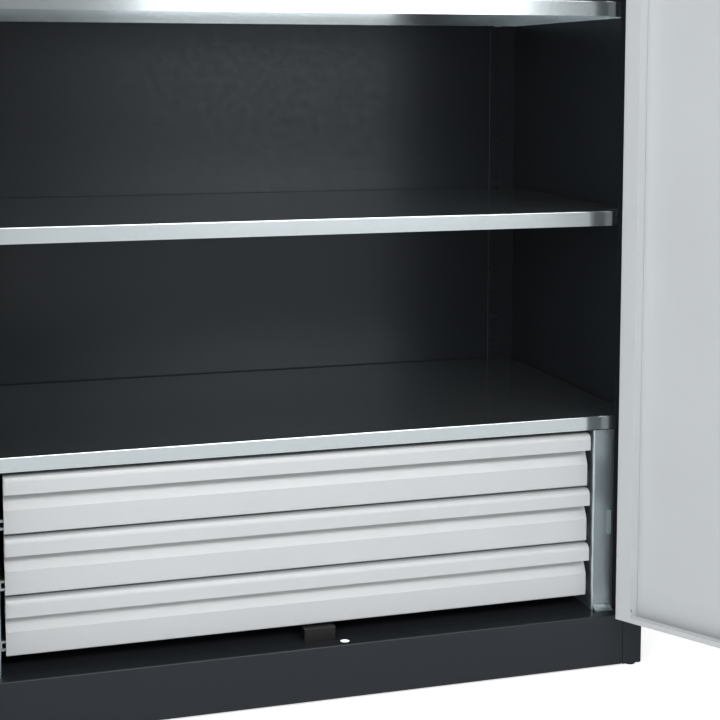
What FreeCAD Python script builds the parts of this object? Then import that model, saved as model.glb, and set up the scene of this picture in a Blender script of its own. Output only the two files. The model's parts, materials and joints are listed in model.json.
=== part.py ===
import FreeCAD, Part
import os
import re

import Sketcher
from FreeCAD import Vector

# Driving dimensions in millimetres and degrees, one spreadsheet row each.
SIZES = {
    # carcass
    "width": 1200,
    "depth": 600,
    "height": 1950,
    "sheet": 1,
    "bend_outside": 2,
    "bend_inside": 1,
    "fit_gap": 0.3,
    "cut_over": 5,
    "foot_height": 4,
    "lip_height": 92.5,
    "post_face": 37,
    "reveal": 28,
    "stop_flange": 9,
    "rear_flange": 27,
    "roof_rail": 38,
    "base_flange": 27,
    "seam_gap": 0.8,
    "joint_flange": 12,
    # slotted uprights and adjustable shelves
    "strip_width": 32,
    "strip_depth": 4,
    "groove": 1.2,
    "front_upright": 28,
    "front_upright_depth": 30,
    "slot_width": 13,
    "slot_height": 4,
    "slot_pitch": 15,
    "slot_spare_share": 0.2,
    "shelf_rise": 365.9,
    "shelf_height": 26.4,
    "shelf_front": 35,
    "shelf_notch": 52.4,
    "shelf_notch_depth": 63,
    "shelf_side_gap": 3,
    "shelf_rear_gap": 2.2,
    "cover_gap": 6.6,
    "cover_height": 24.2,
    "cover_notch": 30,
    "clip_length": 14,
    "clip_thickness": 1.5,
    "hook_height": 3,
    # levelling feet and floor anchors
    "foot_radius": 10,
    "foot_stud_radius": 4,
    "foot_stud_height": 22,
    "foot_inset": 17,
    "gusset_thickness": 2,
    "gusset_depth": 25,
    "gusset_relief": 1.3,
    "anchor_radius": 5.5,
    "anchor_inset": 100,
    "anchor_setback": 14,
    "wall_hole_radius": 4.5,
    "wall_hole_drop": 70,
    "wall_hole_inset": 200,
    # doors
    "door_depth": 26,
    "door_gap": 3,
    "door_clearance": 2.5,
    "hinge_rim": 29.5,
    "end_rim": 10,
    "end_return": 13,
    "stile_foot": 14,
    "door_open_angle": 121.65,
    "hinge_inset": 38,
    "hinge_out": 7.7,
    "hinge_edge": 0.5,
    "barrel_radius": 5.2,
    "knuckle_gap": 0.6,
    "pin_proud": 1.5,
    "hinge_pin_radius": 3,
    "pin_clearance": 0.05,
    "hinge_length": 66,
    "hinge_leaf": 26,
    "leaf_thickness": 2,
    "hinge_end_share": 0.12,
    "overlap_strip": 15,
    "strip_clearance": 0.4,
    "rim_hole_radius": 2.2,
    "rim_hole_rise": 20,
    "rim_hole_back": 5,
    # lock and its rods
    "rod_radius": 4,
    "rod_offset": 51,
    "rod_setback": 18,
    "rod_hole_radius": 8,
    "rod_gap_width": 40,
    "rod_start": 3,
    "rod_clearance": 0.3,
    "rod_entry": 22,
    "lock_height": 1050,
    "lock_case_width": 34,
    "lock_case_height": 110,
    "lock_case_depth": 22,
    "guide_width": 22,
    "guide_height": 12,
    "guide_end": 60,
    "plate_width": 34,
    "plate_height": 150,
    "plate_thickness": 9,
    "plate_edge": 3,
    "plate_lift": 12,
    "key_rise": 48,
    "spindle_radius": 5,
    "spindle_depth": 8,
    "lever_width": 24,
    "lever_length": 118,
    "lever_thickness": 11,
    "lever_gap": 1,
    "lever_edge": 4,
    "lever_end_radius": 8,
    "lever_taper_share": 0.8,
    "cylinder_radius": 9,
    "cylinder_head": 3,
    "key_slot_width": 1.6,
    "key_slot_length": 9,
    "key_slot_depth": 2,
    # door stop blocks
    "block_left": -17,
    "block_width": 54.5,
    "block_depth": 23,
    "block_height": 22.5,
    "block_edge": 0.7,
    # drawers
    "drawer_pitch": 100,
    "drawer_joint": 4,
    "drawer_floor_gap": 25.4,
    "drawer_side_gap": 91,
    "grip_front": 30,
    "grip_radius": 10,
    "grip_drop": 28.7,
    "panel_front": 42,
    "recess_back": 55,
    "crease_drop": 56.6,
    "tray_front": 62,
    "tray_headroom": 24,
    "tray_gap": 13,
    "tray_rear_gap": 40,
    # drawer cheeks
    "cheek_offset": 83,
    "cheek_gap": 1.5,
    "cheek_radius": 3.5,
    "cheek_front": 35,
    "cheek_flange_end": 29,
    "cheek_rear_end": 34,
    "cheek_foot": 20,
    "toe_height": 14,
    "toe_radius": 12,
    "tab_start": 55.6,
    "tab_width": 8.8,
    "tab_rise": 2.1,
    "tab_bottom": 137,
    "tab_height": 43,
    # telescopic slides
    "rail_thickness": 1.2,
    "rail_height": 17,
    "rail_running_gap": 0.3,
    "rail_lift": 10.5,
    "rail_tip_gap": 0.5,
}

DRAWERS = 3
SHELVES = 3
SIDES = ("1", "-1")

doc = FreeCAD.newDocument("tool_cabinet")
sizes = doc.addObject("Spreadsheet::Sheet", "sizes")
pieces = []


def fill_sheet():
    for row, (alias, value) in enumerate(SIZES.items(), 1):
        sizes.set(f"A{row}", alias)
        sizes.set(f"B{row}", str(value))
        sizes.setAlias(f"B{row}", alias)
    doc.recompute()


def cells(text):
    """The expression with each size's name pointed at the sheet."""
    return re.sub(
        r"[a-z_]+", lambda word: f"sizes.{word[0]}" if word[0] in SIZES else word[0], text
    )


def bind(thing, **texts):
    for name, text in texts.items():
        thing.setExpression(name, cells(text))
    return thing


def place(thing, x="0", y="0", z="0"):
    for axis, text in (("x", x), ("y", y), ("z", z)):
        if text != "0":
            thing.setExpression(f"Placement.Base.{axis}", cells(text))
    return thing


def piece(label, thing):
    """Names one separate piece of the cabinet."""
    thing.Label = label
    pieces.append(thing)
    return thing


def mirrored(label, source):
    """The left-hand twin of a right-hand piece."""
    twin = doc.addObject("Part::Mirroring", "twin")
    twin.Source = source
    twin.Normal = Vector(1, 0, 0)
    return piece(label, twin)


def both_sides(label, thing):
    piece(f"{label}_right", thing)
    return mirrored(f"{label}_left", thing)


# Sketched bodies

def new_body():
    return doc.addObject("PartDesign::Body", "Body")


def plane_of(body, role):
    return next(f for f in body.Origin.OriginFeatures if f.Role == role)


def new_sketch(body, role):
    sketch = body.newObject("Sketcher::SketchObject", "Sketch")
    sketch.AttachmentSupport = (plane_of(body, role), [""])
    sketch.MapMode = "FlatFace"
    return sketch


def pin_point(sketch, curve, end, x, y):
    """Holds one point of a sketch at two expressions."""
    for kind, axis, text in (("DistanceX", -2, x), ("DistanceY", -1, y)):
        if text == "0":
            sketch.addConstraint(Sketcher.Constraint("PointOnObject", curve, end, axis))
        else:
            number = sketch.addConstraint(
                Sketcher.Constraint(kind, -1, 1, curve, end, curve + 1.0)
            )
            sketch.setExpression(f"Constraints[{number}]", cells(text))


def outline(sketch, corners):
    """A closed outline of straight edges through corners given as pairs of expressions."""
    first = sketch.GeometryCount
    count = len(corners)
    for n in range(count):
        start = Vector(n, n * n, 0)
        end = Vector(n + 1, (n + 1) * (n + 1), 0)
        sketch.addGeometry(Part.LineSegment(start, end))
    for n in range(count):
        following = first + (n + 1) % count
        sketch.addConstraint(Sketcher.Constraint("Coincident", first + n, 2, following, 1))
    for n, (x, y) in enumerate(corners):
        pin_point(sketch, first + n, 1, x, y)
    return sketch


def circle(sketch, x, y, radius):
    curve = sketch.addGeometry(Part.Circle(Vector(1, 1, 0), Vector(0, 0, 1), 1))
    number = sketch.addConstraint(Sketcher.Constraint("Radius", curve, 1.0))
    sketch.setExpression(f"Constraints[{number}]", cells(radius))
    pin_point(sketch, curve, 3, x, y)
    return sketch


def raised_sketch(body, role, offset):
    """A sketch on a plane of the body, moved along the plane's normal."""
    sketch = new_sketch(body, role)
    bind(sketch, **{"AttachmentOffset.Base.z": offset})
    return sketch


def pad_sketch(body, sketch, length, backwards=False):
    feature = body.newObject("PartDesign::Pad", "Pad")
    feature.Profile = sketch
    feature.Reversed = backwards
    bind(feature, Length=length)
    doc.recompute()
    return feature


def pad(body, role, corners, length, backwards=False):
    return pad_sketch(body, outline(new_sketch(body, role), corners), length, backwards)


def pocket(body, sketch):
    """Cuts a sketch through the whole body, both ways from its plane."""
    before = body.Shape.Volume
    feature = body.newObject("PartDesign::Pocket", "Pocket")
    feature.Profile = sketch
    feature.Midplane = True
    feature.Type = "ThroughAll"
    doc.recompute()
    if feature.Shape.Volume >= before:
        raise RuntimeError("a pocket cut nothing")
    return feature


def drill_upwards(body, sketch, length="2 * sheet"):
    """Cuts a sketch through the one sheet above its plane, or upwards by a length."""
    before = body.Shape.Volume
    feature = body.newObject("PartDesign::Pocket", "Pocket")
    feature.Profile = sketch
    feature.Reversed = True
    bind(feature, Length=length)
    doc.recompute()
    if feature.Shape.Volume >= before:
        raise RuntimeError("a hole cut nothing")
    return feature


def round_edges(body, feature, sketch, corners, radius):
    """Rounds the bends that run through the numbered corners of a padded outline."""
    normal = sketch.Placement.Rotation.multVec(Vector(0, 0, 1))
    spots = [sketch.Placement.multVec(sketch.Geometry[n].StartPoint) for n in corners]
    names = []
    for number, edge in enumerate(feature.Shape.Edges, 1):
        if not isinstance(edge.Curve, Part.Line) or len(edge.Vertexes) != 2:
            continue
        if abs(abs(edge.Curve.Direction.dot(normal)) - 1) > 1e-6:
            continue
        point = edge.Vertexes[0].Point
        if any((point - spot).cross(normal).Length < 1e-4 for spot in spots):
            names.append(f"Edge{number}")
    if len(names) != len(corners):
        raise RuntimeError(f"{len(names)} bends found for {len(corners)} corners")
    fillet = body.newObject("PartDesign::Fillet", "Fillet")
    fillet.Base = (feature, names)
    bind(fillet, Radius=radius)
    doc.recompute()
    return fillet


def folded(role, corners, length, outside=(), inside=(), wide=None):
    """A folded sheet: an outline drawn round its thickness, padded along its bends."""
    body = new_body()
    last = pad(body, role, corners, length)
    sketch = last.Profile[0]
    if wide:
        for spots, radius in wide:
            last = round_edges(body, last, sketch, spots, radius)
    if outside:
        last = round_edges(body, last, sketch, outside, "bend_outside")
    if inside:
        last = round_edges(body, last, sketch, inside, "bend_inside")
    return body


def round_rim(body, feature, direction, radius):
    """Rounds every edge of the flat face that lies furthest along a direction."""
    rim = feature.Shape.Faces[furthest_face(feature.Shape, direction) - 1]
    fillet = body.newObject("PartDesign::Fillet", "Fillet")
    fillet.Base = (feature, [
        f"Edge{n}" for n, edge in enumerate(feature.Shape.Edges, 1)
        if any(edge.isSame(other) for other in rim.Edges)
    ])
    bind(fillet, Radius=radius)
    doc.recompute()
    return fillet


def pan(corners, height, open_side):
    """A tray of sheet: a padded plate, its closed face's edges rounded, hollowed from open_side."""
    body = new_body()
    direction = Vector(*open_side)
    solid = round_rim(body, pad(body, "XY_Plane", corners, height), -direction, "bend_outside")
    shell = body.newObject("PartDesign::Thickness", "Thickness")
    shell.Base = (solid, [f"Face{furthest_face(solid.Shape, direction)}"])
    shell.Reversed = True
    bind(shell, Value="sheet")
    doc.recompute()
    return body


def furthest_face(shape, direction):
    """The number of the flat face that lies furthest along a direction and faces it."""
    best, found = None, None
    for number, face in enumerate(shape.Faces, 1):
        if not isinstance(face.Surface, Part.Plane):
            continue
        if face.normalAt(0, 0).dot(direction) < 0.999:
            continue
        reach = face.CenterOfMass.dot(direction)
        if best is None or reach > best:
            best, found = reach, number
    return found


# Solids from primitives

def box(x, y, z, length, width, height):
    solid = doc.addObject("Part::Box", "Box")
    bind(solid, Length=length, Width=width, Height=height)
    return place(solid, x, y, z)


TURNS = {"x": (Vector(0, 1, 0), 90), "y": (Vector(1, 0, 0), -90), "z": (Vector(0, 0, 1), 0)}


def cylinder(x, y, z, radius, height, along="z"):
    solid = doc.addObject("Part::Cylinder", "Cylinder")
    solid.Placement.Rotation = FreeCAD.Rotation(*TURNS[along])
    bind(solid, Radius=radius, Height=height)
    return place(solid, x, y, z)


def cut(base, *tools):
    for tool in tools:
        result = doc.addObject("Part::Cut", "Cut")
        result.Base = base
        result.Tool = tool
        base = result
    return base


def fuse(*solids):
    result = doc.addObject("Part::MultiFuse", "Fusion")
    result.Shapes = list(solids)
    result.Refine = True
    return result


def group(*solids):
    """Several separate solids that share one name."""
    result = doc.addObject("Part::Compound", "Group")
    result.Links = list(solids)
    return result


def rounded(solid, radius, wanted):
    """Rounds the edges of a primitive for which wanted(edge) holds."""
    doc.recompute()
    result = doc.addObject("Part::Fillet", "Fillet")
    result.Base = solid
    value = float(sizes.get(radius))
    numbers = [n for n, edge in enumerate(solid.Shape.Edges, 1) if wanted(edge)]
    result.Edges = [(n, value, value) for n in numbers]
    return result


def runs_along(axis):
    return lambda edge: abs(abs((edge.Vertexes[-1].Point - edge.Vertexes[0].Point).normalize()
                                .dot(axis)) - 1) < 1e-6


# Places that several pieces share. X runs across the front, Y from front to back, Z up.
FRONT = "(-depth / 2)"
BACK = "(depth / 2)"
FLOOR_TOP = "(foot_height + lip_height)"
ROOF_UNDER = "(height - roof_rail)"
REAR_FACE = f"({BACK} - 2 * sheet - strip_depth)"
DOOR_BOTTOM = f"({FLOOR_TOP} + door_clearance)"
DOOR_HEIGHT = f"({ROOF_UNDER} - 2 * door_clearance - {FLOOR_TOP})"
DOOR_WIDTH = "(width / 2 - hinge_inset - hinge_edge - door_gap / 2)"
FRONT_HEIGHT = "(drawer_pitch - drawer_joint)"
COVER_BOTTOM = (
    f"({FLOOR_TOP} + drawer_floor_gap + {DRAWERS} * drawer_pitch - drawer_joint + cover_gap)"
)
COVER_TOP = f"({COVER_BOTTOM} + cover_height)"


def side_panels():
    """The side wall, folded in at the front as the post and at the back as a flange."""
    corners = [
        ("0", "0"),
        ("-post_face", "0"),
        ("-post_face", "reveal"),
        ("-(post_face + stop_flange)", "reveal"),
        ("-(post_face + stop_flange)", "reveal + sheet"),
        ("-(post_face - sheet)", "reveal + sheet"),
        ("-(post_face - sheet)", "sheet"),
        ("-sheet", "sheet"),
        ("-sheet", "depth - sheet"),
        ("-rear_flange", "depth - sheet"),
        ("-rear_flange", "depth"),
        ("0", "depth"),
    ]
    height = f"{ROOF_UNDER} - foot_height"
    body = folded("XY_Plane", corners, height, outside=(0, 1, 5, 11), inside=(2, 6, 7, 8))
    place(body, "width / 2", FRONT, "foot_height")
    both_sides("side_panel", body)


def slot_row(body, x):
    """Rectangular slots one pitch apart up the whole height of an upright."""
    sketch = new_sketch(body, "XZ_Plane")
    left, right = f"{x} - slot_width / 2", f"{x} + slot_width / 2"
    low, high = "slot_pitch - slot_height / 2", "slot_pitch + slot_height / 2"
    outline(sketch, [(left, low), (right, low), (right, high), (left, high)])
    slot = pocket(body, sketch)
    row = body.newObject("PartDesign::LinearPattern", "LinearPattern")
    row.Originals = [slot]
    row.Direction = (sketch, ["V_Axis"])
    count = f"floor(({ROOF_UNDER} - {FLOOR_TOP}) / slot_pitch) - 1"
    bind(row, Length=f"({count} - 1) * slot_pitch", Occurrences=count)
    body.Tip = row
    doc.recompute()


def rear_uprights():
    """The slotted strip in each back corner, with a groove beside its plain face."""
    corners = [
        ("-(sheet + fit_gap)", "0"),
        ("-rear_flange", "0"),
        ("-rear_flange", "sheet / 2"),
        ("-(rear_flange + groove)", "sheet / 2"),
        ("-(rear_flange + groove)", "0"),
        ("-(rear_flange + strip_width)", "0"),
        ("-(rear_flange + strip_width)", "strip_depth"),
        ("-(rear_flange + strip_width - sheet)", "strip_depth"),
        ("-(rear_flange + strip_width - sheet)", "sheet"),
        ("-(sheet + fit_gap)", "sheet"),
    ]
    body = folded("XY_Plane", corners, f"{ROOF_UNDER} - {FLOOR_TOP}", outside=(5,))
    slot_row(body, "-(rear_flange + strip_width / 2)")
    place(body, "width / 2", REAR_FACE, FLOOR_TOP)
    both_sides("rear_upright", body)


def front_uprights():
    """A slotted channel hidden behind each post, open towards the front."""
    corners = [
        ("-sheet", "0"),
        ("-2 * sheet", "0"),
        ("-2 * sheet", "front_upright_depth - sheet"),
        ("-(front_upright - sheet)", "front_upright_depth - sheet"),
        ("-(front_upright - sheet)", "0"),
        ("-front_upright", "0"),
        ("-front_upright", "front_upright_depth"),
        ("-sheet", "front_upright_depth"),
    ]
    body = folded("XY_Plane", corners, f"{ROOF_UNDER} - {FLOOR_TOP}", outside=(6, 7))
    slot_row(body, "-front_upright / 2")
    place(body, "width / 2", f"{FRONT} + reveal + sheet + fit_gap", FLOOR_TOP)
    both_sides("front_upright", body)


def back_panel():
    left = "-(width / 2 - sheet - bend_inside - fit_gap)"
    right = "width / 2 - sheet - bend_inside - fit_gap"
    top = "height - 2 * sheet"
    corners = [(left, FLOOR_TOP), (right, FLOOR_TOP), (right, top), (left, top)]
    body = new_body()
    pad(body, "XZ_Plane", corners, "sheet")
    holes = new_sketch(body, "XZ_Plane")
    for side in SIDES:
        hole_x = f"{side} * (width / 2 - wall_hole_inset)"
        circle(holes, hole_x, "height - wall_hole_drop", "wall_hole_radius")
    pocket(body, holes)
    place(body, y=f"{BACK} - sheet")
    piece("back_panel", body)


def roof():
    """A pan over the whole top."""
    corners = [("0", "0"), ("width", "0"), ("width", "depth"), ("0", "depth")]
    cover = pan(corners, "roof_rail", (0, 0, -1))
    place(cover, "-width / 2", FRONT, ROOF_UNDER)
    piece("roof_panel", cover)


def roof_front_rail():
    """A folded rail behind the roof's front edge: a ledge over the doors and a stop leg."""
    corners = [
        ("sheet", "0"),
        ("reveal", "0"),
        ("reveal", "-stop_flange"),
        ("reveal + sheet", "-stop_flange"),
        ("reveal + sheet", "sheet"),
        ("2 * sheet", "sheet"),
        ("2 * sheet", "joint_flange"),
        ("sheet", "joint_flange"),
    ]
    length = "width - 2 * (post_face + stop_flange + fit_gap)"
    rail = folded("YZ_Plane", corners, length, outside=(0, 4), inside=(1, 5))
    hole = new_sketch(rail, "XY_Plane")
    circle(hole, f"({length}) / 2 + rod_offset", "rod_setback", "rod_hole_radius")
    pocket(rail, hole)
    place(rail, f"-({length}) / 2", FRONT, ROOF_UNDER)
    piece("roof_front_rail", rail)


def rod_gap(body, middle, front, low):
    """A gap in a joint flange behind the lock rod's hole, cut upwards from below the flange."""
    x = f"({middle}) + rod_offset"
    gap = [
        (f"{x} - rod_gap_width / 2", front),
        (f"{x} + rod_gap_width / 2", front),
        (f"{x} + rod_gap_width / 2", f"{front} + 2 * sheet"),
        (f"{x} - rod_gap_width / 2", f"{front} + 2 * sheet"),
    ]
    drill_upwards(body, outline(raised_sketch(body, "XY_Plane", low), gap), "joint_flange")


def plinth_front():
    """The plinth's face folded back as the sill the doors close over, with a base flange."""
    corners = [
        ("0", "0"),
        ("0", "lip_height"),
        ("reveal", "lip_height"),
        ("reveal", "lip_height - joint_flange"),
        ("reveal - sheet", "lip_height - joint_flange"),
        ("reveal - sheet", "lip_height - sheet"),
        ("sheet", "lip_height - sheet"),
        ("sheet", "sheet"),
        ("base_flange", "sheet"),
        ("base_flange", "0"),
    ]
    length = "width - 2 * (post_face + seam_gap)"
    body = folded("YZ_Plane", corners, length, outside=(0, 1, 2), inside=(5, 6, 7))
    holes = new_sketch(body, "XY_Plane")
    for side in SIDES:
        hole_x = f"({length}) / 2 + {side} * (width / 2 - anchor_inset)"
        circle(holes, hole_x, "anchor_setback", "anchor_radius")
    drill_upwards(body, holes)
    rod_hole = raised_sketch(body, "XY_Plane", "lip_height - 2 * sheet")
    circle(rod_hole, f"({length}) / 2 + rod_offset", "rod_setback", "rod_hole_radius")
    drill_upwards(body, rod_hole)
    rod_gap(body, f"({length}) / 2", "reveal - 1.5 * sheet", "lip_height - sheet - joint_flange")
    place(body, f"-({length}) / 2", FRONT, "foot_height")
    piece("plinth_front", body)


def plinth_rear():
    """A channel under the floor's back edge, open towards the front."""
    back = "base_flange"
    top = "lip_height - sheet"
    corners = [
        ("0", "0"),
        (back, "0"),
        (back, top),
        (f"{back} - joint_flange", top),
        (f"{back} - joint_flange", f"{top} - sheet"),
        (f"{back} - sheet", f"{top} - sheet"),
        (f"{back} - sheet", "sheet"),
        ("0", "sheet"),
    ]
    length = "width - 2 * (rear_flange + seam_gap)"
    body = folded("YZ_Plane", corners, length, outside=(1, 2), inside=(5, 6))
    holes = new_sketch(body, "XY_Plane")
    for side in SIDES:
        hole_x = f"({length}) / 2 + {side} * (width / 2 - anchor_inset)"
        circle(holes, hole_x, "base_flange + sheet - anchor_setback", "anchor_radius")
    drill_upwards(body, holes)
    place(body, f"-({length}) / 2", f"{BACK} - sheet - base_flange", "foot_height")
    piece("plinth_rear", body)


def floor_panel():
    """The floor behind the sill, notched round the posts, with a front joint flange."""
    side = "width / 2 - sheet - fit_gap"
    neck = "width / 2 - post_face - stop_flange - fit_gap"
    shoulder = "sheet + fit_gap"
    back = "depth - 2 * sheet - fit_gap - reveal"
    corners = [
        (f"-({neck})", "0"),
        (neck, "0"),
        (neck, shoulder),
        (side, shoulder),
        (side, back),
        (f"-({side})", back),
        (f"-({side})", shoulder),
        (f"-({neck})", shoulder),
    ]
    body = new_body()
    pad(body, "XY_Plane", corners, "sheet")
    flange = [
        (f"-({neck})", "0"),
        (neck, "0"),
        (neck, "sheet"),
        (f"-({neck})", "sheet"),
    ]
    pad(body, "XY_Plane", flange, "joint_flange - sheet", backwards=True)
    rod_gap(body, "0", "-sheet / 2", "-joint_flange")
    place(body, y=f"{FRONT} + reveal", z=f"{FLOOR_TOP} - sheet")
    piece("floor_panel", body)


def corner_feet():
    """A gusset plate inside each corner of the base and a levelling foot screwed up into it."""
    gussets, feet = [], []
    for side in SIDES:
        foot_x = f"{side} * (width / 2 - foot_inset)"
        rows = (
            ("post_face", f"{FRONT} + sheet + gusset_relief", f"{FRONT} + gusset_depth / 2"),
            ("rear_flange", f"{BACK} - sheet - gusset_relief - gusset_depth",
             f"{BACK} - sheet - gusset_relief - gusset_depth / 2"),
        )
        for flange, low_y, foot_y in rows:
            length = f"({flange} - 2 * sheet)"
            inner = f"{side} * (width / 2 - sheet - {length} / 2) - {length} / 2"
            plate = box(inner, low_y, "foot_height", length, "gusset_depth", "gusset_thickness")
            hole = cylinder(foot_x, foot_y, "foot_height - cut_over",
                            "foot_stud_radius + fit_gap", "2 * cut_over + gusset_thickness")
            gussets.append(cut(plate, hole))
            disc = cylinder(foot_x, foot_y, "0", "foot_radius", "foot_height")
            stud = cylinder(foot_x, foot_y, "0", "foot_stud_radius",
                            "foot_height + foot_stud_height")
            feet.append(fuse(disc, stud))
    piece("corner_gussets", group(*gussets))
    piece("levelling_feet", group(*feet))


def shelf_outline(inset):
    """The plan of a shelf, notched round the front posts by an inset from the cabinet's side."""
    side = "width / 2 - shelf_side_gap"
    nose = f"width / 2 - {inset}"
    notch = "shelf_notch_depth - shelf_front"
    back = "depth - 2 * sheet - strip_depth - shelf_rear_gap - shelf_front"
    half = [(nose, "0"), (nose, notch), (side, notch), (side, back)]
    return half + [(f"-({x})", y) for x, y in reversed(half)]


def clips_under(bottom, front_only):
    """The clips at one side that carry a shelf whose lower edge is at a height."""
    slot = (f"({FLOOR_TOP} + ceil(({bottom} - {FLOOR_TOP}) / slot_pitch + slot_spare_share)"
            " * slot_pitch)")
    width = "slot_width - 2 * fit_gap"
    low = f"{bottom} - clip_thickness"
    rise = f"{slot} + hook_height / 2 - ({low})"
    front_face = f"({FRONT} + reveal + sheet + fit_gap + front_upright_depth)"
    rows = (
        ("front_upright / 2", front_face, front_face, f"{front_face} - 2 * sheet"),
        ("(rear_flange + strip_width / 2)", f"{REAR_FACE} - clip_length",
         f"{REAR_FACE} - clip_thickness", REAR_FACE),
    )
    clips = []
    for inset, tongue_y, plate_y, hook_y in rows[:1] if front_only else rows:
        x = f"width / 2 - {inset} - ({width}) / 2"
        tongue = box(x, tongue_y, low, width, "clip_length", "clip_thickness")
        plate = box(x, plate_y, low, width, "clip_thickness", rise)
        hook = box(x, hook_y, f"{slot} - hook_height / 2", width, "2 * sheet", "hook_height")
        clips.append(fuse(tongue, plate, hook))
    return clips


def shelves():
    clips = []
    levels = [("cover_shelf", COVER_TOP, "cover_height", "cover_notch")]
    for n in range(1, SHELVES + 1):
        top = f"({COVER_TOP} + {n} * shelf_rise)"
        levels.append((f"shelf_{n}", top, "shelf_height", "shelf_notch"))
    for label, top, height, inset in levels:
        body = pan(shelf_outline(inset), height, (0, 0, -1))
        place(body, y=f"{FRONT} + shelf_front", z=f"{top} - {height}")
        piece(label, body)
        clips += clips_under(f"({top} - {height})", front_only=label == "cover_shelf")
    right = group(*clips)
    left = doc.addObject("Part::Mirroring", "twin")
    left.Source = right
    left.Normal = Vector(1, 0, 0)
    piece("shelf_clips", group(right, left))


def door_stop_block():
    block = box("block_left", f"{FRONT} + reveal", FLOOR_TOP, "block_width", "block_depth",
                "block_height")
    upper = lambda edge: max(v.Z for v in edge.Vertexes) > block.Shape.BoundBox.Center.z
    piece("door_stop_block", rounded(block, "block_edge", upper))


# Drawers and what carries them

def drawer_bottom(number):
    return f"({FLOOR_TOP} + drawer_floor_gap + {number - 1} * drawer_pitch)"


def rail_section(plate, plate_end, tips, half):
    """A C section about height zero, its back plate at plate and its legs reaching to tips."""
    leg = f"{half} - rail_thickness"
    return [
        (plate, f"-({half})"),
        (tips, f"-({half})"),
        (tips, f"-({leg})"),
        (plate_end, f"-({leg})"),
        (plate_end, leg),
        (tips, leg),
        (tips, half),
        (plate, half),
    ]


RAIL_HALF = "(rail_height / 2)"
RAIL_STEP = "(rail_thickness + rail_running_gap)"
RAIL_LENGTH = "(depth - tray_front - tray_rear_gap)"
RAIL_TIP = "(tray_gap - rail_thickness - rail_tip_gap)"
RAILS = {
    "outer": ("0", "-rail_thickness", f"-{RAIL_TIP}", RAIL_HALF),
    "middle": (f"-{RAIL_STEP}", f"-({RAIL_STEP} + rail_thickness)", f"-{RAIL_TIP}",
               f"({RAIL_HALF} - {RAIL_STEP})"),
    "inner": ("-tray_gap", "-(tray_gap - rail_thickness)", f"-({RAIL_STEP} * 2)",
              f"({RAIL_HALF} - 2 * {RAIL_STEP})"),
}


def rail_pair(kind, number):
    """The right and left rail of one kind at one drawer."""
    body = new_body()
    pad(body, "XZ_Plane", rail_section(*RAILS[kind]), RAIL_LENGTH, backwards=True)
    place(body, "width / 2 - cheek_offset", f"{FRONT} + tray_front",
          f"{drawer_bottom(number)} + rail_lift")
    twin = doc.addObject("Part::Mirroring", "twin")
    twin.Source = body
    twin.Normal = Vector(1, 0, 0)
    return body, twin


def drawer_front(number):
    """One folded sheet: lower face, slanted finger recess and a rounded full-width grip."""
    top = FRONT_HEIGHT
    rise = f"({top} - crease_drop)"
    lip = f"({top} - grip_drop)"
    corners = [
        ("panel_front", "0"),
        ("panel_front", rise),
        ("recess_back", lip),
        ("recess_back", f"{top} - sheet"),
        ("grip_front + sheet", f"{top} - sheet"),
        ("grip_front + sheet", lip),
        ("grip_front", lip),
        ("grip_front", top),
        ("recess_back + sheet", top),
        ("recess_back + sheet", lip),
        ("panel_front + sheet", rise),
        ("panel_front + sheet", "sheet"),
        ("tray_front + joint_flange", "sheet"),
        ("tray_front + joint_flange", "0"),
    ]
    grip = (((7,), "grip_radius"), ((4,), "grip_radius - sheet"))
    length = "width - 2 * drawer_side_gap"
    body = folded("YZ_Plane", corners, length, outside=(0, 8), inside=(3, 11), wide=grip)
    place(body, f"-({length}) / 2", FRONT, drawer_bottom(number))
    piece(f"drawer_front_{number}", body)


def drawer_tray(number):
    half = "(width / 2 - cheek_offset - tray_gap)"
    corners = [
        (f"-{half}", "0"),
        (half, "0"),
        (half, RAIL_LENGTH),
        (f"-{half}", RAIL_LENGTH),
    ]
    body = pan(corners, "drawer_pitch - tray_headroom", (0, 0, 1))
    place(body, y=f"{FRONT} + tray_front", z=f"{drawer_bottom(number)} + sheet")
    piece(f"drawer_tray_{number}", body)


def drawers():
    fixed = []
    for number in range(1, DRAWERS + 1):
        drawer_front(number)
        drawer_tray(number)
        piece(f"drawer_rails_{number}", group(*rail_pair("inner", number)))
        piece(f"slide_members_{number}", group(*rail_pair("middle", number)))
        fixed += rail_pair("outer", number)
    piece("drawer_runners", group(*fixed))


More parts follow.
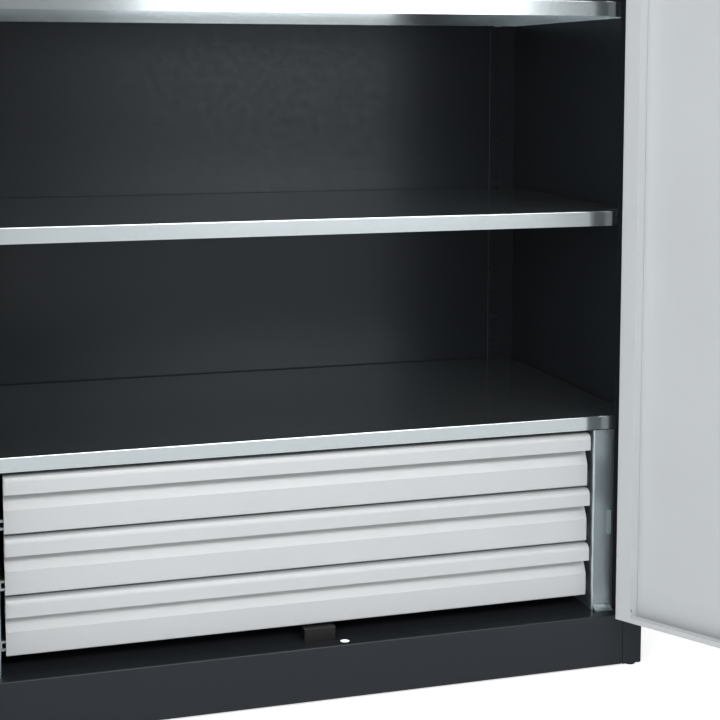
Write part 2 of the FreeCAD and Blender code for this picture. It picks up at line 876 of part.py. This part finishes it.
def drawer_cheeks():
    """The galvanised wall beside the drawers: a front flange, the wall and a rear flange."""
    face = "-cheek_offset"
    front = "cheek_front"
    back = "depth - 2 * sheet - strip_depth"
    corners = [
        ("-cheek_flange_end", front),
        (face, front),
        (face, back),
        ("-cheek_rear_end", back),
        ("-cheek_rear_end", f"{back} - sheet"),
        (f"{face} + sheet", f"{back} - sheet"),
        (f"{face} + sheet", f"{front} + sheet"),
        ("-cheek_flange_end", f"{front} + sheet"),
    ]
    height = f"{COVER_BOTTOM} - {FLOOR_TOP} - cheek_gap"
    bend = (((1,), "cheek_radius"), ((6,), "cheek_radius - sheet"))
    body = folded("XY_Plane", corners, height, outside=(2,), inside=(5,), wide=bend)
    foot = [
        (f"{face} + sheet", f"{front} + 2 * cheek_radius"),
        (f"{face} + sheet + cheek_foot", f"{front} + 2 * cheek_radius"),
        (f"{face} + sheet + cheek_foot", f"{back} - cheek_foot"),
        (f"{face} + sheet", f"{back} - cheek_foot"),
    ]
    pad(body, "XY_Plane", foot, "sheet")
    toe = [
        (front, "0"),
        (front, "toe_height"),
        (f"{front} - sheet", "toe_height"),
        (f"{front} - sheet", "sheet"),
        (f"{front} - toe_height", "sheet"),
        (f"{front} - toe_height", "0"),
    ]
    toe_sketch = outline(raised_sketch(body, "YZ_Plane", f"{face} + cheek_radius"), toe)
    toe_length = "cheek_offset - cheek_radius - post_face - stop_flange - fit_gap"
    toe_pad = pad_sketch(body, toe_sketch, toe_length)
    round_edges(body, toe_pad, toe_sketch, (3,), "toe_radius")
    tab = [
        ("-tab_start", front),
        ("-(tab_start - tab_width)", f"{front} - tab_rise"),
        ("-(tab_start - tab_width)", front),
    ]
    pad_sketch(body, outline(raised_sketch(body, "XY_Plane", "tab_bottom"), tab), "tab_height")
    place(body, "width / 2", FRONT, FLOOR_TOP)
    both_sides("drawer_cheek", body)


# Doors. Each door piece is drawn closed, about its hinge's pivot, and swung open by the rest angle.

SKIN_X = f"-(hinge_edge + {DOOR_WIDTH})"
SKIN_BACK = "(hinge_out + door_depth)"
ROD_X = "(-(width / 2 - hinge_inset - rod_offset))"
ROD_Y = "(hinge_out + rod_setback)"
ROD_BORE = "rod_radius + rod_clearance"
DOOR_TOP = f"({DOOR_BOTTOM} + {DOOR_HEIGHT})"


def hang(thing):
    """Places a piece of the right door at its hinge, opened by the rest angle."""
    thing.Placement.Rotation = FreeCAD.Rotation(Vector(0, 0, 1), 1)
    place(thing, "width / 2 - hinge_inset", f"{FRONT} - hinge_out")
    bind(thing, **{"Placement.Rotation.Angle": "door_open_angle"})
    return thing


def plain_skin():
    """The door's outer sheet with its four sides folded round to narrow rims inside."""
    slab = box(SKIN_X, "hinge_out", DOOR_BOTTOM, DOOR_WIDTH, "door_depth", DOOR_HEIGHT)
    across = runs_along(Vector(0, 1, 0))
    slab = rounded(slab, "bend_outside", lambda edge: not across(edge))
    hollow = box(f"{SKIN_X} + sheet", "hinge_out + sheet", f"{DOOR_BOTTOM} + sheet",
                 f"{DOOR_WIDTH} - 2 * sheet", "door_depth - 2 * sheet",
                 f"{DOOR_HEIGHT} - 2 * sheet")
    window = box(f"{SKIN_X} + hinge_rim", f"{SKIN_BACK} - cut_over",
                 f"{DOOR_BOTTOM} + end_rim", f"{DOOR_WIDTH} - 2 * hinge_rim", "2 * cut_over",
                 f"{DOOR_HEIGHT} - 2 * end_rim")
    return cut(slab, hollow, window)


def door_skins():
    rod_way = cylinder(ROD_X, ROD_Y, f"{DOOR_BOTTOM} - cut_over", ROD_BORE,
                       f"{DOOR_HEIGHT} + 2 * cut_over")
    spindle_way = cylinder(ROD_X, "hinge_out - cut_over", "lock_height",
                           "spindle_radius + rod_clearance", "2 * cut_over", along="y")
    piece("right_door_skin", hang(cut(plain_skin(), rod_way, spindle_way)))
    mirrored("left_door_skin", hang(plain_skin()))


def stile(x, toward):
    """An upright from the skin to the rim's edge, with a foot along the skin."""
    near, far = "hinge_out + sheet", f"{SKIN_BACK} - sheet"
    corners = [
        (x, near),
        (x, far),
        (f"{x} + {toward} * sheet", far),
        (f"{x} + {toward} * sheet", "hinge_out + 2 * sheet"),
        (f"{x} + {toward} * stile_foot", "hinge_out + 2 * sheet"),
        (f"{x} + {toward} * stile_foot", near),
    ]
    height = f"{DOOR_HEIGHT} - 2 * sheet"
    body = folded("XY_Plane", corners, height, outside=(0,), inside=(3,))
    holes = new_sketch(body, "YZ_Plane")
    for z in ("rim_hole_rise", f"{height} - rim_hole_rise"):
        circle(holes, f"{SKIN_BACK} - rim_hole_back", z, "rim_hole_radius")
    pocket(body, holes)
    hang(body)
    body.setExpression("Placement.Base.z", cells(f"{DOOR_BOTTOM} + sheet"))
    return body


def door_stiles():
    hinge_side = stile("(-(hinge_edge + hinge_rim))", "1")
    piece("right_door_hinge_stile", hinge_side)
    mirrored("left_door_hinge_stile", hinge_side)
    lock_side = stile(f"({SKIN_X} + hinge_rim)", "-1")
    piece("right_door_lock_stile", lock_side)
    mirrored("left_door_lock_stile", lock_side)


def end_returns():
    """The inward returns of the door's bottom and top rims."""
    def returns(drilled):
        plates = []
        for z in (f"{DOOR_BOTTOM} + end_rim - sheet", f"{DOOR_TOP} - end_rim"):
            plate = box(f"{SKIN_X} + hinge_rim", f"{SKIN_BACK} - sheet - end_return", z,
                        f"{DOOR_WIDTH} - 2 * hinge_rim", "end_return", "sheet")
            if drilled:
                way = cylinder(ROD_X, ROD_Y, f"{z} - cut_over", ROD_BORE, "3 * cut_over")
                plate = cut(plate, way)
            plates.append(plate)
        return hang(group(*plates))
    piece("right_door_end_returns", returns(True))
    mirrored("left_door_end_returns", returns(False))


def knuckle(side, low, share_low, share_high):
    """One barrel length of a hinge joined to its leaf's side."""
    start = f"{low} + hinge_length * {share_low} + knuckle_gap / 2"
    length = f"hinge_length * ({share_high} - {share_low}) - knuckle_gap"
    barrel = cylinder("0", "0", start, "barrel_radius", length)
    x = "0" if side == "1" else "-barrel_radius"
    web = box(x, "0", start, "barrel_radius", "hinge_out", length)
    return [barrel, web]


THIRD = "(1 / 3)"
TWO_THIRDS = "(2 / 3)"


def leaf(side, low):
    """One hinge leaf with its knuckles: two on the post's leaf, the middle one on the door's."""
    x = "hinge_edge" if side == "1" else "-(hinge_edge + hinge_leaf)"
    plate = box(x, "hinge_out - leaf_thickness", low, "hinge_leaf", "leaf_thickness",
                "hinge_length")
    if side == "1":
        solids = knuckle(side, low, "0", THIRD) + knuckle(side, low, TWO_THIRDS, "1")
    else:
        solids = knuckle(side, low, THIRD, TWO_THIRDS)
    bore = cylinder("0", "0", f"{low} - cut_over", "hinge_pin_radius + pin_clearance",
                    "hinge_length + 2 * cut_over")
    return cut(fuse(plate, *solids), bore)


def hinges():
    lows = []
    for share in ("hinge_end_share", "0.5", "(1 - hinge_end_share)"):
        lows.append(f"({DOOR_BOTTOM} + {share} * {DOOR_HEIGHT} - hinge_length / 2)")
    fixed = group(*[leaf("1", low) for low in lows])
    place(fixed, "width / 2 - hinge_inset", f"{FRONT} - hinge_out")
    both_sides("hinge_leaves", fixed)
    moving = hang(group(*[leaf("-1", low) for low in lows]))
    piece("right_door_hinge_leaves", moving)
    mirrored("left_door_hinge_leaves", moving)
    pins = []
    for low in lows:
        pin = cylinder("0", "0", f"{low} - pin_proud", "hinge_pin_radius",
                       "hinge_length + pin_proud")
        cap = cylinder("0", "0", f"{low} + hinge_length", "barrel_radius - hinge_edge",
                       "pin_proud")
        pins.append(fuse(pin, cap))
    right = group(*pins)
    place(right, "width / 2 - hinge_inset", f"{FRONT} - hinge_out")
    left = doc.addObject("Part::Mirroring", "twin")
    left.Source = right
    left.Normal = Vector(1, 0, 0)
    piece("hinge_pins", group(right, left))


def overlap_strip():
    """The strip down the left door's free edge that the right door closes over."""
    gap_edge = f"({SKIN_X} + strip_clearance * 2)"
    face = SKIN_BACK
    corners = [
        (f"{SKIN_X} + overlap_strip", face),
        (gap_edge, face),
        (gap_edge, f"{face} + strip_clearance"),
        (f"{SKIN_X} - overlap_strip", f"{face} + strip_clearance"),
        (f"{SKIN_X} - overlap_strip", f"{face} + strip_clearance + sheet"),
        (f"{SKIN_X} + overlap_strip", f"{face} + strip_clearance + sheet"),
    ]
    body = new_body()
    pad(body, "XY_Plane", corners, f"{DOOR_HEIGHT} - 2 * door_clearance")
    hang(body)
    body.setExpression("Placement.Base.z", cells(f"{DOOR_BOTTOM} + door_clearance"))
    mirrored("left_door_overlap_strip", body)


# The lock: case, guides and rods inside the right door, handle and key outside.

CASE_LOW = "(lock_height - lock_case_height / 2)"
CASE_HIGH = "(lock_height + lock_case_height / 2)"


def rod(low, length):
    return hang(group(cylinder(ROD_X, ROD_Y, low, "rod_radius", length)))


def lock_case():
    case = box(f"{ROD_X} - lock_case_width / 2", "hinge_out + sheet", CASE_LOW,
               "lock_case_width", "lock_case_depth", "lock_case_height")
    case = rounded(case, "bend_inside", runs_along(Vector(0, 1, 0)))
    depth = "rod_entry + rod_start + cut_over"
    low_bore = cylinder(ROD_X, ROD_Y, f"{CASE_LOW} - cut_over", ROD_BORE, depth)
    high_bore = cylinder(ROD_X, ROD_Y, f"{CASE_HIGH} - rod_entry - rod_start", ROD_BORE, depth)
    spindle = cylinder(ROD_X, "hinge_out + sheet - cut_over", "lock_height",
                       "spindle_radius + rod_clearance",
                       "cut_over + spindle_depth + rod_clearance", along="y")
    piece("lock_case", hang(cut(case, low_bore, high_bore, spindle)))


def rod_guides():
    guides = []
    for low in (f"{DOOR_BOTTOM} + guide_end", f"{DOOR_TOP} - guide_end - guide_height"):
        block = box(f"{ROD_X} - guide_width / 2", "hinge_out + sheet", low, "guide_width",
                    "rod_setback + rod_radius", "guide_height")
        way = cylinder(ROD_X, ROD_Y, f"{low} - cut_over", ROD_BORE, "guide_height + 2 * cut_over")
        guides.append(cut(block, way))
    piece("rod_guides", hang(group(*guides)))


def lock_rods():
    low = f"{DOOR_BOTTOM} + rod_start"
    piece("lock_rod_lower", rod(low, f"{CASE_LOW} + rod_entry - ({low})"))
    start = f"{CASE_HIGH} - rod_entry"
    piece("lock_rod_upper", rod(start, f"{DOOR_TOP} - rod_start - ({start})"))


def handle_plate():
    """The plate on the door's face that carries the lever and the key cylinder."""
    plate = box(f"{ROD_X} - plate_width / 2", "hinge_out - plate_thickness",
                "lock_height + plate_lift - plate_height / 2", "plate_width",
                "plate_thickness", "plate_height")
    outer = lambda edge: min(v.Y for v in edge.Vertexes) < plate.Shape.BoundBox.Center.y
    plate = rounded(plate, "plate_edge", outer)
    spindle = cylinder(ROD_X, "hinge_out - plate_thickness - cut_over", "lock_height",
                       "spindle_radius + rod_clearance", "plate_thickness + 2 * cut_over",
                       along="y")
    key = cylinder(ROD_X, "hinge_out - plate_thickness - cut_over", "lock_height + key_rise",
                   "cylinder_radius + pin_clearance", "plate_thickness + 2 * cut_over",
                   along="y")
    piece("handle_plate", hang(cut(plate, spindle, key)))


def handle_lever():
    """A flat lever lying level, with its spindle running through the door into the lock."""
    back = "(hinge_out - plate_thickness - lever_gap)"
    half = "lever_width / 2"
    body = new_body()
    corners = [
        (f"{ROD_X} - {half}", f"lock_height - {half}"),
        (f"{ROD_X} + lever_length - {half}", f"lock_height - {half} * lever_taper_share"),
        (f"{ROD_X} + lever_length - {half}", f"lock_height + {half} * lever_taper_share"),
        (f"{ROD_X} - {half}", f"lock_height + {half}"),
    ]
    bar = pad(body, "XZ_Plane", corners, "lever_thickness")
    rounding = body.newObject("PartDesign::Fillet", "Fillet")
    ends = [
        f"Edge{n}" for n, edge in enumerate(bar.Shape.Edges, 1)
        if runs_along(Vector(0, 1, 0))(edge)
    ]
    rounding.Base = (bar, ends)
    bind(rounding, Radius="lever_end_radius")
    doc.recompute()
    round_rim(body, rounding, Vector(0, -1, 0), "lever_edge")
    place(body, y=back)
    spindle = cylinder(ROD_X, back, "lock_height", "spindle_radius",
                       f"hinge_out + sheet + spindle_depth - {back}", along="y")
    piece("handle_lever", hang(fuse(body, spindle)))


def key_cylinder():
    """The barrel of the lock that the key turns, with its slot."""
    front = "(hinge_out - plate_thickness - cylinder_head)"
    core = cylinder(ROD_X, front, "lock_height + key_rise", "cylinder_radius",
                    "cylinder_head + plate_thickness - fit_gap", along="y")
    slot = box(f"{ROD_X} - key_slot_width / 2", f"{front} - cut_over",
               "lock_height + key_rise - key_slot_length / 2", "key_slot_width",
               "cut_over + key_slot_depth", "key_slot_length")
    piece("key_cylinder", hang(cut(core, slot)))


def write_pieces():
    doc.recompute()
    for thing in doc.Objects:
        if {"Invalid", "Error"} & set(thing.State):
            raise RuntimeError(f"{thing.Name} ({thing.Label}) failed: {thing.State}")
    os.makedirs("parts", exist_ok=True)
    for thing in pieces:
        shape = thing.Shape
        if shape.isNull() or not shape.isValid():
            raise RuntimeError(f"{thing.Label} has no valid shape")
        shape.exportStep(f"parts/{thing.Label}.step")
        print(thing.Label, len(shape.Solids), round(shape.Volume))


def main():
    fill_sheet()
    side_panels()
    rear_uprights()
    front_uprights()
    back_panel()
    roof()
    roof_front_rail()
    plinth_front()
    plinth_rear()
    floor_panel()
    corner_feet()
    shelves()
    door_stop_block()
    drawer_cheeks()
    drawers()
    door_skins()
    door_stiles()
    end_returns()
    hinges()
    overlap_strip()
    lock_case()
    rod_guides()
    lock_rods()
    handle_plate()
    handle_lever()
    key_cylinder()
    write_pieces()


main()
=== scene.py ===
import json
import math

import bpy
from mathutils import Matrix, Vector

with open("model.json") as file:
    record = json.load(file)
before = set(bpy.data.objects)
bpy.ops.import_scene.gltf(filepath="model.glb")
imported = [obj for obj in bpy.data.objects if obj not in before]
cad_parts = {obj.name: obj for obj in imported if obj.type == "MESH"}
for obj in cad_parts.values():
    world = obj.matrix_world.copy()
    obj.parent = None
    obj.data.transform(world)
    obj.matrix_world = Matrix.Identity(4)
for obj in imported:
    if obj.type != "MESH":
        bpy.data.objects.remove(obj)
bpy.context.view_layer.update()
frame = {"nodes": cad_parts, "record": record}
nodes = frame["nodes"]
MM = 0.001


# Materials. Texture coordinates are the object's own, in metres, so they ride with each body.

# Nearly all values of a noise texture lie between these two
NOISE_LOW, NOISE_HIGH = 0.3, 0.7

# Base colours, in linear red, green and blue
BODY_DARK = (0.0150, 0.0174, 0.0205)
DOOR_GREY = (0.467, 0.488, 0.500)
DRAWER_GREY = (0.435, 0.453, 0.463)
BRIGHT_ZINC = (0.413, 0.456, 0.473)
DULL_ZINC = (0.43, 0.50, 0.53)
STEEL = (0.55, 0.56, 0.57)
BLACK = (0.0042, 0.0040, 0.0040)
CHROME = (0.75, 0.75, 0.76)
NEUTRAL = (1, 1, 1)
COOL_GLINT = (0.86, 0.94, 1.0)


class Surface:
    """A node material with one Principled shader and helpers for procedural detail."""

    def __init__(self, name, **values):
        self.material = bpy.data.materials.new(name)
        self.material.use_nodes = True
        self.tree = self.material.node_tree
        self.shader = self.tree.nodes["Principled BSDF"]
        for socket, value in values.items():
            self.shader.inputs[socket.replace("_", " ")].default_value = value
        self.place = self.tree.nodes.new("ShaderNodeTexCoord").outputs["Object"]
        self.normal = None

    def link(self, source, target):
        self.tree.links.new(source, target)

    def stretched(self, scale):
        mapping = self.tree.nodes.new("ShaderNodeMapping")
        mapping.inputs["Scale"].default_value = scale
        self.link(self.place, mapping.inputs["Vector"])
        return mapping.outputs["Vector"]

    def noise(self, scale, detail, stretch=None):
        node = self.tree.nodes.new("ShaderNodeTexNoise")
        node.inputs["Scale"].default_value = scale
        node.inputs["Detail"].default_value = detail
        node.inputs["Roughness"].default_value = 0.5
        self.link(self.stretched(stretch) if stretch else self.place, node.inputs["Vector"])
        return node.outputs["Fac"]

    def cells(self, scale):
        node = self.tree.nodes.new("ShaderNodeTexVoronoi")
        node.inputs["Scale"].default_value = scale
        self.link(self.place, node.inputs["Vector"])
        grey = self.tree.nodes.new("ShaderNodeRGBToBW")
        self.link(node.outputs["Color"], grey.inputs["Color"])
        return grey.outputs["Val"]

    def spread(self, value, low, high):
        node = self.tree.nodes.new("ShaderNodeMapRange")
        node.inputs["From Min"].default_value = NOISE_LOW
        node.inputs["From Max"].default_value = NOISE_HIGH
        node.inputs["To Min"].default_value = low
        node.inputs["To Max"].default_value = high
        self.link(value, node.inputs["Value"])
        return node.outputs["Result"]

    def tint(self, value, dark, light):
        node = self.tree.nodes.new("ShaderNodeMix")
        node.data_type = "RGBA"
        node.inputs["A"].default_value = (*dark, 1)
        node.inputs["B"].default_value = (*light, 1)
        self.link(value, node.inputs["Factor"])
        self.link(node.outputs["Result"], self.shader.inputs["Base Color"])

    def rough(self, value, low, high):
        self.link(self.spread(value, low, high), self.shader.inputs["Roughness"])

    def bump(self, value, strength, depth):
        node = self.tree.nodes.new("ShaderNodeBump")
        node.inputs["Strength"].default_value = strength
        node.inputs["Distance"].default_value = depth
        self.link(value, node.inputs["Height"])
        if self.normal:
            self.link(self.normal, node.inputs["Normal"])
        self.normal = node.outputs["Normal"]
        self.link(self.normal, self.shader.inputs["Normal"])


def shade(colour, share):
    return tuple(channel * share for channel in colour)


def powder_coat(name, colour, rough, peel, level=0.5, glint=NEUTRAL):
    """Baked powder: a fine orange peel over slow, faint changes of tone and gloss."""
    surface = Surface(name, Specular_IOR_Level=level, Specular_Tint=(*glint, 1))
    tone = surface.noise(scale=3.0, detail=3.0)
    surface.tint(surface.spread(tone, 0, 1), dark=shade(colour, 0.975), light=shade(colour, 1.02))
    surface.rough(surface.noise(scale=60.0, detail=3.0), rough - 0.03, rough + 0.03)
    surface.bump(surface.noise(scale=650.0, detail=2.0), strength=peel, depth=0.12 * MM)
    surface.bump(surface.noise(scale=6.0, detail=1.0), strength=0.02, depth=0.6 * MM)
    return surface.material


def galvanised_sheet(name, colour, rough):
    """Smooth rolled zinc: faint spangle, fine lines along the sheet and soft reflections."""
    surface = Surface(name, Metallic=0.93)
    spangle = surface.cells(scale=170.0)
    surface.tint(spangle, dark=shade(colour, 0.985), light=shade(colour, 1.012))
    surface.rough(surface.noise(scale=1400.0, detail=2.0), rough - 0.04, rough + 0.10)
    lines = surface.noise(scale=420.0, detail=3.0, stretch=(0.06, 1, 1))
    surface.bump(lines, strength=0.02, depth=0.05 * MM)
    surface.bump(surface.noise(scale=4.0, detail=1.0), strength=0.03, depth=1.0 * MM)
    return surface.material


def plated_steel(name, colour, rough):
    """Dull zinc plating on the small steel pieces: blotchy tone and a fine grain."""
    surface = Surface(name, Metallic=1.0)
    tone = surface.noise(scale=90.0, detail=4.0)
    surface.tint(surface.spread(tone, 0, 1), dark=shade(colour, 0.92), light=colour)
    surface.rough(surface.noise(scale=220.0, detail=3.0), rough - 0.05, rough + 0.07)
    surface.bump(surface.noise(scale=700.0, detail=2.0), strength=0.06, depth=0.06 * MM)
    return surface.material


def moulded_plastic(name, colour, rough):
    """Black moulded plastic with a finely grained skin."""
    surface = Surface(name, Specular_IOR_Level=0.30)
    tone = surface.noise(scale=30.0, detail=3.0)
    surface.tint(surface.spread(tone, 0, 1), dark=shade(colour, 0.85), light=colour)
    surface.rough(surface.noise(scale=150.0, detail=3.0), rough - 0.05, rough + 0.05)
    surface.bump(surface.noise(scale=1300.0, detail=2.0), strength=0.18, depth=0.12 * MM)
    return surface.material


def polished_chrome(name, colour):
    surface = Surface(name, Metallic=1.0, Base_Color=(*colour, 1))
    surface.rough(surface.noise(scale=120.0, detail=3.0), 0.06, 0.12)
    surface.bump(surface.noise(scale=500.0, detail=1.0), strength=0.02, depth=0.03 * MM)
    return surface.material


MATERIALS = {
    "body_dark": powder_coat(
        "body_dark", BODY_DARK, rough=0.31, peel=0.05, level=0.20, glint=COOL_GLINT
    ),
    "door_grey": powder_coat("door_grey", DOOR_GREY, rough=0.42, peel=0.08),
    "drawer_grey": powder_coat("drawer_grey", DRAWER_GREY, rough=0.34, peel=0.02),
    "galvanised": galvanised_sheet("galvanised", BRIGHT_ZINC, rough=0.12),
    "cheek_zinc": galvanised_sheet("cheek_zinc", DULL_ZINC, rough=0.34),
    "steel": plated_steel("steel", STEEL, rough=0.34),
    "black_plastic": moulded_plastic("black_plastic", BLACK, rough=0.5),
    "lock_chrome": polished_chrome("lock_chrome", CHROME),
}

# Nodes whose sheet is duller than the rest of their slot
DULLER = {"drawer_cheek_right": "cheek_zinc", "drawer_cheek_left": "cheek_zinc"}


def dress():
    """Gives every node of the model the finish of its slot."""
    for entry in frame["record"]["subparts"]:
        thing = nodes[entry["node"]]
        thing.data.materials.clear()
        finish = DULLER.get(entry["node"], entry["material_slot"])
        thing.data.materials.append(MATERIALS[finish])


# Floor, light and camera. Places and sizes are in metres, powers in watts and angles in degrees.

FLOOR_REACH = 14.0

# Strength of the white floor and sky: as light on the object, and as the camera sees them
FLOOR_LIGHTING, FLOOR_SEEN = 0.20, 0.64
SKY_LIGHTING, SKY_SEEN = 0.36, 1.0

# The photograph's view: level in the photograph, here tilted down 5 degrees, which asks for less shift
CAMERA_PLACE = (-0.6447, -2.5990, 1.0534)
CAMERA_PITCH = 85
CAMERA_TURN = -16.119
CAMERA_SHIFT = (0.0415, -0.2182)
CAMERA_CLIP = (0.05, 60)
LENS_MM = 73.49
SENSOR_MM = 36.0


def seen_or_lighting(tree, lighting, seen):
    """One strength for the light that reaches the object, another for what the camera sees."""
    path = tree.nodes.new("ShaderNodeLightPath")
    strength = tree.nodes.new("ShaderNodeMapRange")
    strength.inputs["To Min"].default_value = lighting
    strength.inputs["To Max"].default_value = seen
    tree.links.new(path.outputs["Is Camera Ray"], strength.inputs["Value"])
    return strength.outputs["Result"]


def into_scene(name, data):
    thing = bpy.data.objects.new(name, data)
    bpy.context.scene.collection.objects.link(thing)
    return thing


def stage_floor():
    low, high = -FLOOR_REACH, FLOOR_REACH
    corners = [(low, low, 0), (high, low, 0), (high, high, 0), (low, high, 0)]
    mesh = bpy.data.meshes.new("floor")
    mesh.from_pydata(corners, [], [(0, 1, 2, 3)])
    floor = into_scene("floor", mesh)
    surface = Surface("floor", Roughness=0.8, Emission_Color=(1, 1, 1, 1))
    emission = seen_or_lighting(surface.tree, FLOOR_LIGHTING, FLOOR_SEEN)
    surface.link(emission, surface.shader.inputs["Emission Strength"])
    tone = surface.noise(scale=1.5, detail=3.0)
    surface.tint(tone, dark=shade(NEUTRAL, 0.93), light=shade(NEUTRAL, 0.95))
    mesh.materials.append(surface.material)


def studio_sky():
    """A white surround that lights the object faintly and shows as a white background."""
    world = bpy.data.worlds.new("studio")
    world.use_nodes = True
    tree = world.node_tree
    background = tree.nodes["Background"]
    background.inputs["Color"].default_value = (1, 1, 1, 1)
    strength = seen_or_lighting(tree, SKY_LIGHTING, SKY_SEEN)
    tree.links.new(strength, background.inputs["Strength"])
    bpy.context.scene.world = world


def area_light(name, place, target, size, power, shine=True, glow=True):
    """A lit panel that faces its target; without shine it leaves reflections, without glow it
    lights nothing but reflections."""
    light = bpy.data.lights.new(name, "AREA")
    light.shape = "RECTANGLE"
    light.size, light.size_y = size
    light.energy = power
    thing = into_scene(name, light)
    thing.visible_glossy = shine
    thing.visible_diffuse = glow
    thing.visible_camera = shine and glow
    thing.location = place
    aim = Vector(target) - Vector(place)
    thing.rotation_euler = aim.to_track_quat("-Z", "Y").to_euler()


def light_studio():
    studio_sky()
    area_light("key", place=(1.2, -4.1, 3.1), target=(0.1, -0.2, 0.5), size=(3.4, 1.1), power=130)
    area_light(
        "front", place=(1.2, -4.2, 1.2), target=(0.1, 0.3, 1.0), size=(1.6, 1.1), power=30,
        glow=False,
    )
    area_light("fill", place=(-2.3, -4.2, 1.5), target=(0.6, 0, 0.8), size=(1.6, 1.6), power=46)
    area_light("left", place=(-2.6, -3.0, 2.6), target=(0.4, 0.2, 0.7), size=(1.5, 1.5), power=14)
    area_light(
        "inner", place=(-0.35, -0.8, 1.05), target=(0.6, 0.3, 0.95), size=(0.5, 1.0), power=2.3,
        shine=False,
    )
    area_light(
        "horizon", place=(1.0, -4.3, 0.4), target=(1.0, 0, 0.4), size=(2.7, 0.6), power=3.2,
        glow=False,
    )
    area_light(
        "ceiling", place=(0.2, -1.6, 4.2), target=(0.1, -0.3, 0.3), size=(3.0, 2.0), power=150,
        glow=False,
    )
    # Under the cabinet's floor, so that the rod's hole in the sill shows white
    area_light("base", place=(0.1, 0.0, 0.085), target=(0.1, 0.0, 0), size=(0.2, 0.16), power=0.12)


def photo_camera():
    camera = bpy.data.cameras.new("camera")
    camera.sensor_width = SENSOR_MM
    camera.lens = LENS_MM
    camera.shift_x, camera.shift_y = CAMERA_SHIFT
    camera.clip_start, camera.clip_end = CAMERA_CLIP
    thing = into_scene("camera", camera)
    thing.location = CAMERA_PLACE
    thing.rotation_euler = (math.radians(CAMERA_PITCH), 0, math.radians(CAMERA_TURN))
    bpy.context.scene.camera = thing


dress()
stage_floor()
light_studio()
photo_camera()

scene = bpy.context.scene
scene.view_settings.view_transform = "Standard"
scene.view_settings.look = "None"
